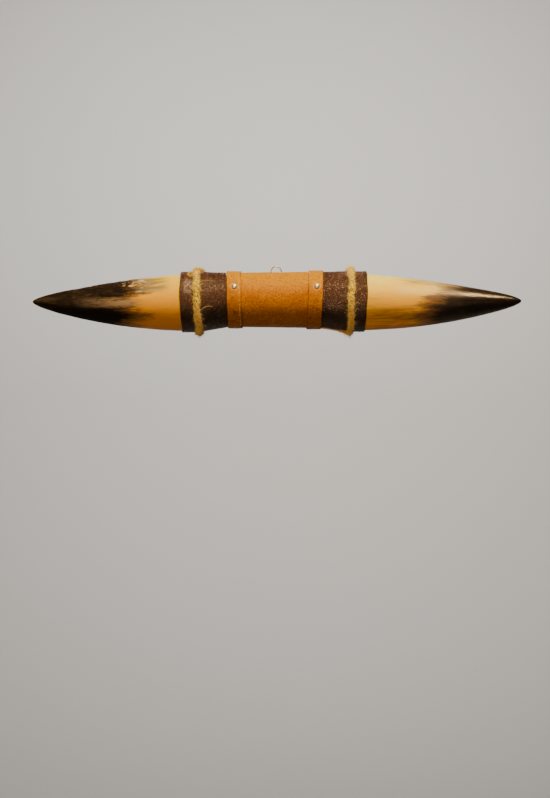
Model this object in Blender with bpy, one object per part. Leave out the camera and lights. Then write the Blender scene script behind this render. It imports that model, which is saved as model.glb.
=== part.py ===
"""A pair of polished buffalo horns on a leather-covered wooden core, hung on a wall by a screw eye.

Metres, +Z up. +X runs along the horns to the viewer's right and +Y points back to the wall. The origin is the
place inside the top of the eye where the nail in the wall bears. All pieces are placed from the core's axis,
an empty that lies in front of the eye and below it. Angles round that axis start at the front and rise over
the top: 0 is the front, 90 the top, 180 the back and -90 the underside.
"""

import math
from collections import namedtuple

import bmesh
import bpy
from mathutils import Vector

# Horns
HORN_R = 0.0336  # at the cut end, before it is trimmed to fit the cover
SEAT_R = 0.0324  # as trimmed, and where it leaves the cover
TIP_POWER = 0.58  # how fast the radius grows from the tip
BELLY = 0.09  # how much fuller the horn is at mid-length
TIP_START = 0.0004  # the tip's small blunt end, measured along the horn
FORWARD = 0.033  # the tips curve this far towards the viewer
FORWARD_POWER = 1.8
SOCKET_DEPTH = 0.042
SOCKET_MOUTH_R = 0.0240
SOCKET_END_R = 0.0160

# Leather and wood
LEATHER = 0.0019
STRAP = 0.0014
EDGE = 0.0004  # the cut edges are chamfered by this much
GAP = 0.0003  # between pieces that touch
SLEEVE_LEFT_R = 0.0312
SLEEVE_RIGHT_R = 0.0322
COVER_R = 0.0347  # the dark covers, over the horns
SEAM = 0.0008
SLEEVE_SEAM_ANGLE = -125
COVER_SEAM_ANGLE = -140
STRAP_SEAM_ANGLE = 168
STRAP_OVERLAP = 32  # degrees
STRAP_RAMP = 14  # degrees over which the strap climbs onto its own end

# Ties and lace
TIE_HALF_WIDTH = 0.0042
TIE_HALF_HEIGHT = 0.0021
TUFT_ANGLE = 88
TUFT_SPREAD = 16
TAIL_LENGTH = 0.013
TAIL_R = 0.0022
LACE_R = 0.0009
LACE_ANGLE = -80

# Metal
NAIL_HEAD_R = 0.0032
NAIL_HEAD_HEIGHT = 0.0020
NAIL_SHANK_R = 0.0008
NAIL_SHANK_LENGTH = 0.012
NAIL_ANGLES = {"front": 24, "back": 184}
EYE_OUTER_R = 0.0068
EYE_WIRE_R = 0.00085
EYE_BACK = 0.020  # behind the core's axis
EYE_HEIGHT = 0.0342  # the ring's centre, above the core's axis
EYE_SHANK_LENGTH = 0.018

SEGMENTS = 36
HORN_RINGS = 15

# One side of the object. Distances are from the middle, outwards.
Side = namedtuple(
    "Side", "name sign tip butt cover joint strap_out strap_in lean tie tie_lean nail fall_butt fall_tip bow"
)
LEFT = Side("left", -1, 0.2745, 0.090, 0.1085, 0.053, 0.0557, 0.0390, 0.030, 0.0890, 0.070, 0.0470,
            0.0026, 0.0043, 0.00155)
RIGHT = Side("right", 1, 0.2768, 0.084, 0.1029, 0.050, 0.0528, 0.0362, 0.040, 0.0852, 0.010, 0.0463,
             0.0019, 0.0032, 0.00185)


def clear_scene():
    for obj in list(bpy.data.objects):
        bpy.data.objects.remove(obj, do_unlink=True)


def make_material(name, colour, roughness, metallic=0.0):
    material = bpy.data.materials.new(name)
    material.use_nodes = True
    shader = material.node_tree.nodes["Principled BSDF"]
    shader.inputs["Base Color"].default_value = (*colour, 1)
    shader.inputs["Roughness"].default_value = roughness
    shader.inputs["Metallic"].default_value = metallic
    return material


def add_object(name, mesh, material, parent):
    mesh.shade_smooth()
    mesh.set_sharp_from_angle(angle=math.radians(35))
    mesh.materials.append(material)
    obj = bpy.data.objects.new(name, mesh)
    bpy.context.scene.collection.objects.link(obj)
    obj.parent = parent
    return obj


def skin(name, rings, closed=False):
    """A mesh through rings of points: capped at both ends, or joined end to end if closed."""
    bm = bmesh.new()
    loops = [[bm.verts.new(point) for point in ring] for ring in rings]
    pairs = list(zip(loops, loops[1:]))
    if closed:
        pairs.append((loops[-1], loops[0]))
    for first, second in pairs:
        for i in range(len(first)):
            j = (i + 1) % len(first)
            bm.faces.new((first[i], first[j], second[j], second[i]))
    if not closed:
        bm.faces.new(loops[0])
        bm.faces.new(loops[-1])
    bmesh.ops.recalc_face_normals(bm, faces=bm.faces)
    mesh = bpy.data.meshes.new(name)
    bm.to_mesh(mesh)
    bm.free()
    return mesh


def between(x, x0, x1, y0, y1):
    """y on the line from (x0, y0) to (x1, y1), held level past its ends."""
    share = min(1.0, max(0.0, (x - x0) / (x1 - x0)))
    return y0 + (y1 - y0) * share


def axis_at(x):
    """The point of the object's curved middle line at x, from the core's axis."""
    side = LEFT if x < 0 else RIGHT
    reach = abs(x)
    if reach <= side.butt:
        return Vector((x, 0, -between(reach, side.strap_out, side.butt, 0, side.fall_butt)))
    along = (reach - side.butt) / (side.tip - side.butt)
    fall = side.fall_butt + (side.fall_tip - side.fall_butt) * along
    fall += side.bow * math.sin(math.pi * along)
    return Vector((x, -FORWARD * along**FORWARD_POWER, -fall))


def skin_radius(x):
    """The radius of the leather's outer face at x."""
    if -LEFT.strap_out <= x <= RIGHT.strap_out:
        return between(x, -LEFT.strap_in, RIGHT.strap_in, SLEEVE_LEFT_R, SLEEVE_RIGHT_R)
    side, start = (LEFT, SLEEVE_LEFT_R) if x < 0 else (RIGHT, SLEEVE_RIGHT_R)
    return between(abs(x), side.strap_out, side.butt, start, COVER_R)


def wood_radius(x):
    return skin_radius(x) - LEATHER - GAP


def around(angle):
    """The direction away from the axis at an angle in degrees."""
    return Vector((0, -math.cos(math.radians(angle)), math.sin(math.radians(angle))))


def circle(centre, radius, front=Vector((0, -1, 0)), up=Vector((0, 0, 1))):
    turns = [2 * math.pi * i / SEGMENTS for i in range(SEGMENTS)]
    return [centre + radius * (math.cos(t) * front + math.sin(t) * up) for t in turns]


def horn_radius(share):
    """The horn's radius at a share of its length from the tip."""
    full = HORN_R * share**TIP_POWER * (1 + BELLY * math.sin(math.pi * share))
    return min(full, SEAT_R)


def horn(side, material, parent):
    """One horn: its outside from tip to cut end, then back into the socket that the core's tenon fills."""
    length = side.tip - side.butt
    rings = []
    for i in range(HORN_RINGS + 1):
        from_tip = TIP_START + (length - TIP_START) * (i / HORN_RINGS) ** 1.5
        x = side.sign * (side.tip - from_tip)
        step = side.sign * 0.0005
        along = (axis_at(x) - axis_at(x - step)).normalized()
        turned = min(1.0, (length - from_tip) / (0.1 * length))
        along = Vector((side.sign, 0, 0)).lerp(along, turned).normalized()
        front = Vector((0, -1, 0))
        front = (front - front.dot(along) * along).normalized()
        up = front.cross(along) * side.sign
        up = up if up.z > 0 else -up
        rings.append(circle(axis_at(x), horn_radius(from_tip / length), front, up))
    butt = axis_at(side.sign * side.butt)
    rings.append(circle(butt, SOCKET_MOUTH_R))
    rings.append(circle(butt + Vector((side.sign * SOCKET_DEPTH, 0, 0)), SOCKET_END_R))
    name = "horn_" + side.name
    return add_object(name, skin(name, rings), material, parent)


def core(material, parent):
    """The turned wooden core, with a tapered tenon at each end for the horns' sockets."""
    rings = []
    for side in (LEFT, RIGHT):
        centre = axis_at(side.sign * side.butt)
        outwards = Vector((side.sign, 0, 0))
        half = [circle(centre + (SOCKET_DEPTH - GAP) * outwards, SOCKET_END_R - GAP)]
        shoulder = centre - GAP * outwards
        half.append(circle(shoulder, SOCKET_MOUTH_R - GAP))
        half.append(circle(shoulder, wood_radius(shoulder.x)))
        for reach in (side.strap_out, side.strap_in):
            x = side.sign * reach
            half.append(circle(axis_at(x), wood_radius(x)))
        rings += half if side is LEFT else half[::-1]
    return add_object("wood_core", skin("wood_core", rings), material, parent)


def band(name, stations, inner_radius, thickness, angles, material, parent, lift=None):
    """Leather wrapped round the core. stations(angle) gives the places along it from one edge to the other."""
    rings = []
    for angle in angles:
        raised = lift(angle) if lift else 0
        places = stations(angle)
        inward = EDGE if places[0] < places[-1] else -EDGE
        inside = [(x, inner_radius(x)) for x in places]
        outside = [(x, inner_radius(x) + thickness) for x in places[1:-1]]
        first, last = places[0], places[-1]
        outside = [
            (first, inner_radius(first) + thickness - EDGE),
            (first + inward, inner_radius(first + inward) + thickness),
            *outside,
            (last - inward, inner_radius(last - inward) + thickness),
            (last, inner_radius(last) + thickness - EDGE),
        ]
        outline = inside + outside[::-1]
        rings.append([axis_at(x) + (r + raised) * around(angle) for x, r in outline])
    return add_object(name, skin(name, rings), material, parent)


def turn_angles(start, end, steps):
    return [start + (end - start) * i / steps for i in range(steps + 1)]


def open_turn(seam_angle, radius):
    """Angles once round, leaving the seam's gap open."""
    half_gap = math.degrees(SEAM / radius) / 2
    return turn_angles(seam_angle + half_gap, seam_angle + 360 - half_gap, SEGMENTS)


def edge_at(side, reach, lean, angle):
    """Where an edge that leans outwards at the top crosses an angle."""
    return side.sign * (reach + lean * SLEEVE_RIGHT_R * math.sin(math.radians(angle)))


def sleeve(material, parent):
    def stations(angle):
        return [edge_at(LEFT, LEFT.joint, LEFT.lean, angle), -LEFT.strap_in, RIGHT.strap_in,
                edge_at(RIGHT, RIGHT.joint, RIGHT.lean, angle)]

    return band("tan_sleeve", stations, lambda x: skin_radius(x) - LEATHER, LEATHER,
                open_turn(SLEEVE_SEAM_ANGLE, SLEEVE_LEFT_R), material, parent)


def cover(side, material, parent):
    """The dark leather between the sleeve and the horn, over the horn's cut end."""

    def stations(angle):
        inner = edge_at(side, side.joint + GAP, side.lean, angle)
        outer = edge_at(side, side.cover, side.lean, angle)
        return [inner, side.sign * max(side.strap_out, abs(inner) + 2 * EDGE), side.sign * side.butt, outer]

    return band("dark_cover_" + side.name, stations, lambda x: skin_radius(x) - LEATHER, LEATHER,
                open_turn(COVER_SEAM_ANGLE, COVER_R), material, parent)


def strap(side, material, parent):
    """The narrow tan strap over the joint of sleeve and cover. Its end overlaps its start at the back."""

    def stations(angle):
        return [edge_at(side, reach, side.lean, angle) for reach in (side.strap_in, side.strap_out)]

    def lift(angle):
        climb = (angle - STRAP_SEAM_ANGLE - 360 + STRAP_RAMP) / STRAP_RAMP
        return (STRAP + GAP) * min(1.0, max(0.0, climb))

    angles = turn_angles(STRAP_SEAM_ANGLE, STRAP_SEAM_ANGLE + 360 + STRAP_OVERLAP, SEGMENTS + 6)
    widest = max(skin_radius(side.sign * side.strap_in), skin_radius(side.sign * side.strap_out))
    return band("strap_" + side.name, stations, lambda x: widest + GAP, STRAP, angles, material, parent, lift)


def tuft(angle):
    """How much thicker a tie is at an angle, where its frayed ends meet on top."""
    return 0.3 * math.exp(-(((angle - TUFT_ANGLE) / TUFT_SPREAD) ** 2))


def tie_path(side, angle):
    """The middle of a tie's cord at an angle."""
    x = edge_at(side, side.tie, side.tie_lean, angle)
    radius = skin_radius(x) + GAP + TIE_HALF_HEIGHT * (1 + tuft(angle))
    return axis_at(x) + radius * around(angle)


def tie(side, material, parent):
    """One turn of thick soft cord round the cover, lying flattened on it."""
    sides = 8
    rings = []
    for angle in turn_angles(-90, 270, SEGMENTS + 4)[:-1]:
        swell = 1 + tuft(angle)
        ring = []
        for i in range(sides):
            turn = 2 * math.pi * (i + 0.5) / sides
            across = Vector((TIE_HALF_WIDTH * swell * math.cos(turn), 0, 0))
            out = TIE_HALF_HEIGHT * swell * math.sin(turn) * around(angle)
            ring.append(tie_path(side, angle) + across + out)
        rings.append(ring)
    name = "tie_" + side.name
    return add_object(name, skin(name, rings, closed=True), material, parent)


def tie_tail(tie_object):
    """The short thick end of the right tie, which lies along the underside towards the strap."""
    start = tie_path(RIGHT, LACE_ANGLE)
    sides = 8
    rings = []
    for share in (0, 0.35, 0.7, 1):
        x = start.x - TAIL_LENGTH * share
        radius = TAIL_R * (1 - 0.45 * share**2)
        middle = axis_at(x) + (skin_radius(x) + GAP + radius) * around(LACE_ANGLE)
        turns = [2 * math.pi * i / sides for i in range(sides)]
        rings.append(
            [middle + radius * (math.cos(t) * around(0) + math.sin(t) * around(90)) for t in turns]
        )
    tail = bpy.data.objects.new("tie_tail_helper", skin("tie_tail_helper", rings))
    bpy.context.scene.collection.objects.link(tail)
    tail.parent = tie_object.parent
    tail.hide_render = True
    tail.display_type = "WIRE"
    union = tie_object.modifiers.new("tail", "BOOLEAN")
    union.operation = "UNION"
    union.object = tail


def lace_end(material, parent):
    """A thin lace that comes out from under the right strap and is caught by the tie's tail."""
    start = edge_at(RIGHT, RIGHT.strap_out, RIGHT.lean, LACE_ANGLE) + GAP
    end = tie_path(RIGHT, LACE_ANGLE).x - TAIL_LENGTH - GAP
    curve = bpy.data.curves.new("lace_end", "CURVE")
    curve.dimensions = "3D"
    curve.bevel_depth = LACE_R
    curve.bevel_resolution = 2
    curve.use_fill_caps = True
    points = 5
    spline = curve.splines.new("POLY")
    spline.points.add(points - 1)
    for i, point in enumerate(spline.points):
        x = start + (end - start) * i / (points - 1)
        place = axis_at(x) + (skin_radius(x) + GAP + LACE_R) * around(LACE_ANGLE)
        point.co = (*place, 1)
    curve.materials.append(material)
    obj = bpy.data.objects.new("lace_end", curve)
    bpy.context.scene.collection.objects.link(obj)
    obj.parent = parent
    return obj


def screw_eye(material, parent):
    """A wire bent into a ring above a straight shank, whose end stops just short of the shank."""
    ring_r = EYE_OUTER_R - EYE_WIRE_R
    first, last = -72, 248  # degrees round the ring, from its right-hand side
    points = [(0, -ring_r - EYE_SHANK_LENGTH), (0, -ring_r - 0.0016), (0.0002, -ring_r - 0.0008),
              (0.0008, -ring_r - 0.0001)]
    for angle in turn_angles(first, last, 30):
        turn = math.radians(angle)
        points.append((ring_r * math.cos(turn), ring_r * math.sin(turn)))
    curve = bpy.data.curves.new("screw_eye", "CURVE")
    curve.dimensions = "3D"
    curve.bevel_depth = EYE_WIRE_R
    curve.bevel_resolution = 2
    curve.use_fill_caps = True
    spline = curve.splines.new("POLY")
    spline.points.add(len(points) - 1)
    for point, (x, z) in zip(spline.points, points):
        point.co = (x, 0, z, 1)
    curve.materials.append(material)
    obj = bpy.data.objects.new("screw_eye", curve)
    bpy.context.scene.collection.objects.link(obj)
    obj.parent = parent
    obj.location = (0, EYE_BACK, EYE_HEIGHT)
    return obj


def turned(name, profile, segments=12):
    """A closed mesh turned round Z. The profile runs from the axis at the top to the axis at the bottom."""
    bm = bmesh.new()
    steps = [2 * math.pi * i / segments for i in range(segments)]
    (_, top), *middle, (_, bottom) = profile
    loops = [[bm.verts.new((r * math.cos(t), r * math.sin(t), z)) for t in steps] for r, z in middle]
    for first, second in zip(loops, loops[1:]):
        for i in range(segments):
            j = (i + 1) % segments
            bm.faces.new((first[i], first[j], second[j], second[i]))
    for loop, z in ((loops[0], top), (loops[-1], bottom)):
        end = bm.verts.new((0, 0, z))
        for i in range(segments):
            bm.faces.new((loop[i], loop[(i + 1) % segments], end))
    bmesh.ops.recalc_face_normals(bm, faces=bm.faces)
    mesh = bpy.data.meshes.new(name)
    bm.to_mesh(mesh)
    bm.free()
    return mesh


def point_along(obj, direction):
    """Turns an object so that its Z runs along a direction."""
    obj.rotation_mode = "QUATERNION"
    obj.rotation_quaternion = direction.to_track_quat("Z", "Y")


def hole_cutter(name, radius, length, parent):
    """A cylinder about its own middle, for cutting a hole."""
    half = length / 2
    mesh = turned(name, [(0, half), (radius, half), (radius, -half), (0, -half)])
    obj = bpy.data.objects.new(name, mesh)
    bpy.context.scene.collection.objects.link(obj)
    obj.parent = parent
    obj.hide_render = True
    obj.display_type = "WIRE"
    return obj


def cut(target, cutter):
    difference = target.modifiers.new(cutter.name, "BOOLEAN")
    difference.operation = "DIFFERENCE"
    difference.object = cutter


def nail(side, place, material, parent, pierced):
    """A domed nail through the strap and the sleeve into the core, with its hole in each."""
    angle = NAIL_ANGLES[place]
    x = side.sign * side.nail
    base = max(skin_radius(side.sign * side.strap_in), skin_radius(side.sign * side.strap_out)) + GAP + STRAP
    if place == "back":
        base += STRAP + GAP
    dome = [(NAIL_HEAD_R * math.sin(t), NAIL_HEAD_HEIGHT * math.cos(t)) for t in (0, 0.5, 1.0, 1.4)]
    profile = [*dome, (NAIL_HEAD_R, 0), (NAIL_SHANK_R, 0), (NAIL_SHANK_R, -NAIL_SHANK_LENGTH),
               (0, -NAIL_SHANK_LENGTH - 2 * NAIL_SHANK_R)]
    name = f"nail_{side.name}_{place}"
    obj = add_object(name, turned(name, profile), material, parent)
    obj.location = axis_at(x) + (base + GAP) * around(angle)
    point_along(obj, around(angle))
    cutter = hole_cutter(name + "_hole", NAIL_SHANK_R + GAP, 2 * NAIL_SHANK_LENGTH + 0.006, parent)
    cutter.location = obj.location
    point_along(cutter, around(angle))
    for target in pierced:
        cut(target, cutter)
    return obj


def main():
    clear_scene()
    axis = bpy.data.objects.new("core_axis", None)
    bpy.context.scene.collection.objects.link(axis)
    axis.location = (0, -EYE_BACK, -(EYE_HEIGHT + EYE_OUTER_R - 2 * EYE_WIRE_R))

    horn_material = make_material("horn", (0.72, 0.50, 0.24), 0.28)
    wood = make_material("wood", (0.50, 0.32, 0.17), 0.60)
    tan = make_material("tan_leather", (0.62, 0.29, 0.06), 0.50)
    dark = make_material("dark_leather", (0.080, 0.032, 0.020), 0.42)
    fibre = make_material("cord", (0.80, 0.60, 0.26), 0.85)
    lace = make_material("lace", (0.60, 0.38, 0.20), 0.60)
    nickel = make_material("nickel", (0.78, 0.74, 0.66), 0.25, 1.0)

    wooden = core(wood, axis)
    tan_sleeve = sleeve(tan, axis)
    for side in (LEFT, RIGHT):
        horn(side, horn_material, axis)
        cover(side, dark, axis)
        side_strap = strap(side, tan, axis)
        side_tie = tie(side, fibre, axis)
        if side is RIGHT:
            tie_tail(side_tie)
        for place in NAIL_ANGLES:
            nail(side, place, nickel, axis, (side_strap, tan_sleeve, wooden))
    lace_end(lace, axis)

    screw_eye(nickel, axis)
    eye_hole = hole_cutter("eye_hole", EYE_WIRE_R + GAP, 0.030, axis)
    eye_hole.location = (0, EYE_BACK, EYE_HEIGHT - EYE_OUTER_R - 0.0110)
    for target in (tan_sleeve, wooden):
        cut(target, eye_hole)


main()
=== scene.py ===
"""The looks of a pair of polished buffalo horns on a leather-covered core, hung on a wall by a screw eye.

Metres, +Z up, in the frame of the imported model: +X runs along the horns and -Y faces the viewer. Angles round
the object's axis start at the front and rise over the top: 0 is the front, 90 the top, 180 the back.
"""

import math
from collections import namedtuple

import bpy
import numpy as np
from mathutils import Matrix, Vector, noise


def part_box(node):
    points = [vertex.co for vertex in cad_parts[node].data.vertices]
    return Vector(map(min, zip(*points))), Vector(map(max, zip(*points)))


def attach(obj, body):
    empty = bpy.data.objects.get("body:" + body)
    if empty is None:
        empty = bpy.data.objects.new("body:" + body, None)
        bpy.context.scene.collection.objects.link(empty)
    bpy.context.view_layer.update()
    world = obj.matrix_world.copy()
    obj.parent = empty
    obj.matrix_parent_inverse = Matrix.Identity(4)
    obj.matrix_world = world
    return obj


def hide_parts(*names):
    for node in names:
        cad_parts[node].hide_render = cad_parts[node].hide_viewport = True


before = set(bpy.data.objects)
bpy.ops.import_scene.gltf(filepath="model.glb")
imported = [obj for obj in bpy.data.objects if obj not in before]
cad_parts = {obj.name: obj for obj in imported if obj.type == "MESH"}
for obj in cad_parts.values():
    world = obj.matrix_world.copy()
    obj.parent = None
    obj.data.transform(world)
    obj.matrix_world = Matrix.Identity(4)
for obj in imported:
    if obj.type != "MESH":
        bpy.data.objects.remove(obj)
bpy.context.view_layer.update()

# Sizes and angles, mostly the CAD's own
GAP = 0.0003  # between pieces that touch
LEATHER = 0.0019
STRAP = 0.0014
SEAM = 0.0008
SLEEVE_LEFT_R = 0.0312
SLEEVE_RIGHT_R = 0.0322
COVER_R = 0.0347
HORN_R = 0.0336  # at the cut end, before it is trimmed to fit the cover
SEAT_R = 0.0324  # as trimmed
TIP_POWER = 0.58  # how fast the radius grows from the tip
BELLY = 0.09  # how much fuller the horn is at mid-length
FORWARD = 0.033  # the tips curve this far towards the viewer
FORWARD_POWER = 1.8
SOCKET_DEPTH = 0.042
SOCKET_MOUTH_R = 0.0240
SOCKET_END_R = 0.0160
NAIL_HEAD_R = 0.0033
NAIL_HEAD_HEIGHT = 0.0024
NAIL_SHANK_R = 0.0008
NAIL_SHANK_LENGTH = 0.0115
EYE_WIRE_R = 0.00085
SLEEVE_SEAM_ANGLE = -125
COVER_SEAM_ANGLE = -140
STRAP_SEAM_ANGLE = 168
STRAP_OVERLAP = 32
STRAP_RAMP = 14  # over this many degrees the strap climbs onto its own end
KNOT_ANGLE = 88
LACE_ANGLE = -80
NAIL_ANGLES = {"front": 24, "back": 184}

SLEEVE_LOW, SLEEVE_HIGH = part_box("tan_sleeve")
AXIS_Y = (SLEEVE_LOW.y + SLEEVE_HIGH.y) / 2
AXIS_Z = (SLEEVE_LOW.z + SLEEVE_HIGH.z) / 2

# One side of the object. Its places are distances from the middle: the horn's tip and cut end (butt), the
# dark cover's outer edge and its joint with the sleeve, the strap's edges, the tie and the nails. lean and
# tie_lean are how far an edge and the tie slant outwards for their height. The horn's middle line lies
# fall_butt below the axis at the cut end and fall_tip at the tip, and sags by bow in between.
Side = namedtuple(
    "Side", "name sign tip butt cover joint strap_out strap_in lean tie tie_lean nail fall_butt fall_tip bow"
)
LEFT = Side("left", -1, 0.2745, 0.090, 0.1085, 0.053, 0.0557, 0.0390, 0.030, 0.0890, 0.070, 0.0470,
            0.0026, 0.0043, 0.00155)
RIGHT = Side("right", 1, 0.2768, 0.084, 0.1029, 0.050, 0.0528, 0.0362, 0.040, 0.0852, 0.010, 0.0463,
             0.0019, 0.0032, 0.00185)


# ---- places on the object


def fall(x):
    """How far the leather's middle line lies below the core's axis at x."""
    left = np.interp(-x, [LEFT.strap_out, LEFT.butt], [0, LEFT.fall_butt])
    right = np.interp(x, [RIGHT.strap_out, RIGHT.butt], [0, RIGHT.fall_butt])
    return left + right


def skin_radius(x):
    """The radius of the leather's outer face at x."""
    places = [-LEFT.butt, -LEFT.strap_out, -LEFT.strap_in, RIGHT.strap_in, RIGHT.strap_out, RIGHT.butt]
    sizes = [COVER_R, SLEEVE_LEFT_R, SLEEVE_LEFT_R, SLEEVE_RIGHT_R, SLEEVE_RIGHT_R, COVER_R]
    return np.interp(x, places, sizes)


def polar(x, degrees, radius):
    """Points round the middle line, from arrays of places along it, angles and radii."""
    turn = np.radians(degrees)
    x, turn, radius = np.broadcast_arrays(np.asarray(x, float), turn, radius)
    return np.stack([x, AXIS_Y - radius * np.cos(turn), AXIS_Z - fall(x) + radius * np.sin(turn)], axis=-1)


def hump(values, centre, width):
    """1 at the centre, falling smoothly to 0 on both sides."""
    return np.exp(-(((values - centre) / width) ** 2))


def edge_at(side, reach, lean, degrees):
    """Where an edge that leans outwards at the top crosses an angle."""
    return side.sign * (reach + lean * SLEEVE_RIGHT_R * np.sin(np.radians(degrees)))


# ---- meshes


def unit(vectors):
    return vectors / np.linalg.norm(vectors, axis=-1, keepdims=True)


def grid_faces(rows, columns, closed_rows, closed_columns):
    """Quads over a grid of points numbered row by row."""
    row = np.arange(rows if closed_rows else rows - 1)
    column = np.arange(columns if closed_columns else columns - 1)
    row, column = np.meshgrid(row, column, indexing="ij")
    next_row, next_column = (row + 1) % rows, (column + 1) % columns
    quads = np.stack(
        [row * columns + column, row * columns + next_column,
         next_row * columns + next_column, next_row * columns + column],
        axis=-1,
    )
    return quads.reshape(-1, 4)


def placed(name, data):
    """A new object in the scene."""
    obj = bpy.data.objects.new(name, data)
    bpy.context.scene.collection.objects.link(obj)
    return obj


def make_object(name, points, faces, rest=None, wear_and_painted_light=None):
    """A mesh object. Materials read rest, a coordinate for each point, and a share for each point that holds
    both real wear and painted light and shade.
    """
    mesh = bpy.data.meshes.new(name)
    mesh.from_pydata(points.tolist(), [], faces)
    fields = (("rest", "FLOAT_VECTOR", "vector", rest), ("wear_and_painted_light", "FLOAT", "value", wear_and_painted_light))
    for key, kind, field, values in fields:
        if values is not None:
            attribute = mesh.attributes.new(key, kind, "POINT")
            attribute.data.foreach_set(field, np.asarray(values, np.float32).ravel())
    mesh.shade_smooth()
    mesh.update()
    return placed(name, mesh)


def swept(name, points, rest=None, wear_and_painted_light=None, flip=False):
    """A closed skin over rings of points, from an array of rings by points by 3, capped at both ends."""
    rows, columns, _ = points.shape
    faces = grid_faces(rows, columns, False, True).tolist()
    faces.append(list(range(columns))[::-1])
    faces.append(list(range((rows - 1) * columns, rows * columns)))
    if flip:
        faces = [face[::-1] for face in faces]
    flat_rest = None if rest is None else rest.reshape(-1, 3)
    return make_object(name, points.reshape(-1, 3), faces, flat_rest, wear_and_painted_light)


def noise_field(points, scale, depth, seed):
    """Fractal noise, about -1 to 1, at an array of points. scale is the size of its largest lumps."""
    shift = Vector((17.3, 5.1, 9.7)) * (seed + 1)
    flat = np.asarray(points, float).reshape(-1, 3) / scale
    values = [noise.fractal(Vector(p) + shift, 0.8, 2.1, depth) for p in flat]
    return np.array(values).reshape(np.shape(points)[:-1])


def cell_field(points, scale, seed):
    """0 in the creases between pebbles, rising towards 1 in the middle of each."""
    shift = Vector((3.7, 11.9, 7.3)) * (seed + 1)
    flat = np.asarray(points, float).reshape(-1, 3) / scale
    values = []
    for p in flat:
        near = noise.voronoi(Vector(p) + shift)[0]
        values.append(near[1] - near[0])
    return np.clip(np.array(values).reshape(np.shape(points)[:-1]) * 2.2, 0, 1)


def finish_piece(obj, material, node=None):
    """Gives a piece its material and slot, and lets it replace its CAD node, if it has one."""
    obj.data.materials.append(material)
    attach(obj, "root")
    if node:
        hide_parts(node)


# ---- materials


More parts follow.
